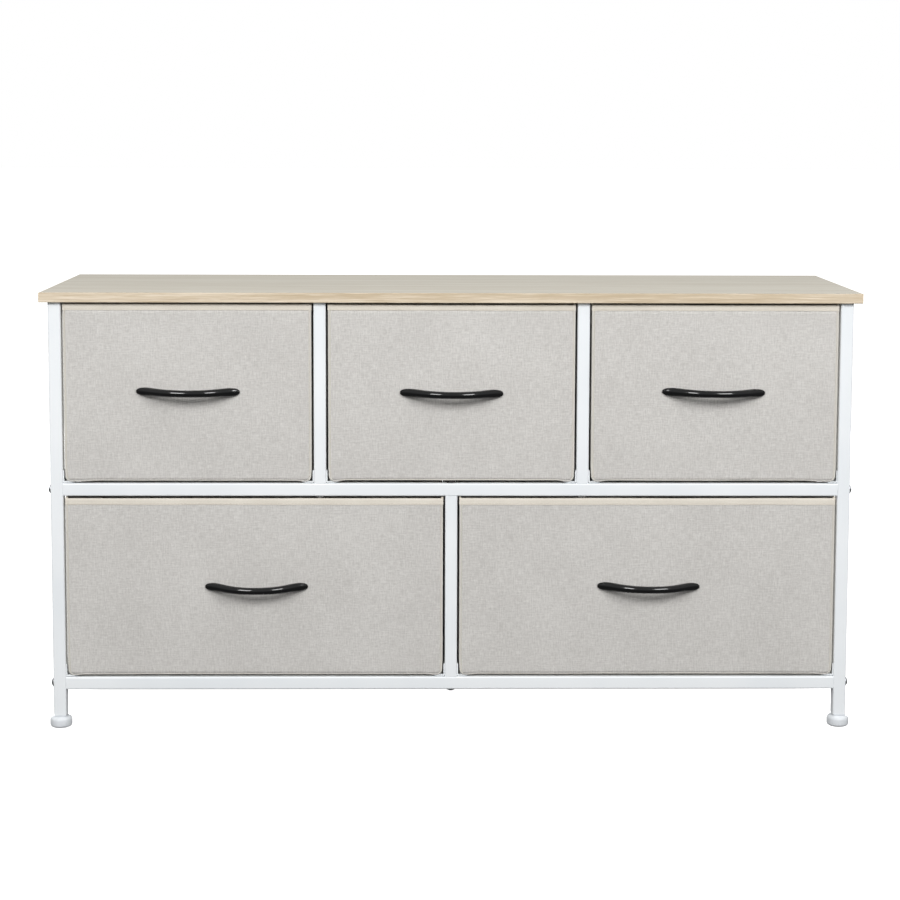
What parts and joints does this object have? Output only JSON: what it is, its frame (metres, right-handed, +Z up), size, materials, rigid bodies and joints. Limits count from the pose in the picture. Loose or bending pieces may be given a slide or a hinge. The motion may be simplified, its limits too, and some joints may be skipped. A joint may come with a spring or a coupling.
{
  "type": "fabric drawer dresser",
  "caption": "Wide low dresser with a white steel tube frame, a pale wood top and linen-look fabric drawers with black bow handles.",
  "frame": {"origin": "middle of the overall box at floor level", "axes": "+X along the width to the right seen from the front, front towards -Y, +Z up"},
  "size_m": [1, 0.319, 0.54],
  "materials": {
    "board_laminate": "pale oak laminate with a fine straight grain, satin",
    "board_edge": "oak-print edge banding, satin",
    "white_steel": "white powder coat, semi-gloss",
    "zinc_steel": "bright zinc plate",
    "white_plastic": "moulded white nylon",
    "linen_fabric": "greige linen-look weave with cream binding",
    "fibre_board": "plain fibreboard",
    "black_plastic": "polished black"
  },
  "bodies": {
    "frame": {"top_board": "board_laminate", "edge_banding": "board_edge", "front_left_post": "white_steel", "front_right_post": "white_steel", "rear_left_post": "white_steel", "rear_right_post": "white_steel", "left_side_tubes": "white_steel", "right_side_tubes": "white_steel", "middle_rail_front": "white_steel", "middle_rail_rear": "white_steel", "bottom_rail_front": "white_steel", "bottom_rail_rear": "white_steel", "upper_divider_left_post_front": "white_steel", "upper_divider_left_post_rear": "white_steel", "upper_divider_left_cross_tubes": "white_steel", "upper_divider_right_post_front": "white_steel", "upper_divider_right_post_rear": "white_steel", "upper_divider_right_cross_tubes": "white_steel", "lower_divider_post_front": "white_steel", "lower_divider_post_rear": "white_steel", "lower_divider_cross_tubes": "white_steel", "upper_left_runners": "white_steel", "upper_middle_runners": "white_steel", "upper_right_runners": "white_steel", "lower_left_runners": "white_steel", "lower_right_runners": "white_steel", "tube_plugs": "white_plastic", "side_bolts": "zinc_steel"},
    "front_left_leveller": {"front_left_foot": "white_plastic"},
    "front_right_leveller": {"front_right_foot": "white_plastic"},
    "rear_left_leveller": {"rear_left_foot": "white_plastic"},
    "rear_right_leveller": {"rear_right_foot": "white_plastic"},
    "upper_left_drawer": {"upper_left_fabric_box": "linen_fabric", "upper_left_front_board": "fibre_board", "upper_left_bottom_board": "fibre_board", "upper_left_handle": "black_plastic"},
    "upper_middle_drawer": {"upper_middle_fabric_box": "linen_fabric", "upper_middle_front_board": "fibre_board", "upper_middle_bottom_board": "fibre_board", "upper_middle_handle": "black_plastic"},
    "upper_right_drawer": {"upper_right_fabric_box": "linen_fabric", "upper_right_front_board": "fibre_board", "upper_right_bottom_board": "fibre_board", "upper_right_handle": "black_plastic"},
    "lower_left_drawer": {"lower_left_fabric_box": "linen_fabric", "lower_left_front_board": "fibre_board", "lower_left_bottom_board": "fibre_board", "lower_left_handle": "black_plastic"},
    "lower_right_drawer": {"lower_right_fabric_box": "linen_fabric", "lower_right_front_board": "fibre_board", "lower_right_bottom_board": "fibre_board", "lower_right_handle": "black_plastic"}
  },
  "joints": [
    {"name": "front_left_foot_turn", "type": "hinge", "parent": "frame", "child": "front_left_leveller", "pos_m": [-0.4825, -0.126, 0], "axis": [0, 0, 1], "continuous": true},
    {"name": "front_right_foot_turn", "type": "hinge", "parent": "frame", "child": "front_right_leveller", "pos_m": [0.4825, -0.126, 0], "axis": [0, 0, 1], "continuous": true},
    {"name": "rear_left_foot_turn", "type": "hinge", "parent": "frame", "child": "rear_left_leveller", "pos_m": [-0.4825, 0.145, 0], "axis": [0, 0, 1], "continuous": true},
    {"name": "rear_right_foot_turn", "type": "hinge", "parent": "frame", "child": "rear_right_leveller", "pos_m": [0.4825, 0.145, 0], "axis": [0, 0, 1], "continuous": true},
    {"name": "upper_left_drawer_slide", "type": "slide", "parent": "frame", "child": "upper_left_drawer", "axis": [0, -1, 0], "range_m": [0, 0.21]},
    {"name": "upper_middle_drawer_slide", "type": "slide", "parent": "frame", "child": "upper_middle_drawer", "axis": [0, -1, 0], "range_m": [0, 0.21]},
    {"name": "upper_right_drawer_slide", "type": "slide", "parent": "frame", "child": "upper_right_drawer", "axis": [0, -1, 0], "range_m": [0, 0.21]},
    {"name": "lower_left_drawer_slide", "type": "slide", "parent": "frame", "child": "lower_left_drawer", "axis": [0, -1, 0], "range_m": [0, 0.21]},
    {"name": "lower_right_drawer_slide", "type": "slide", "parent": "frame", "child": "lower_right_drawer", "axis": [0, -1, 0], "range_m": [0, 0.21]}
  ]
}
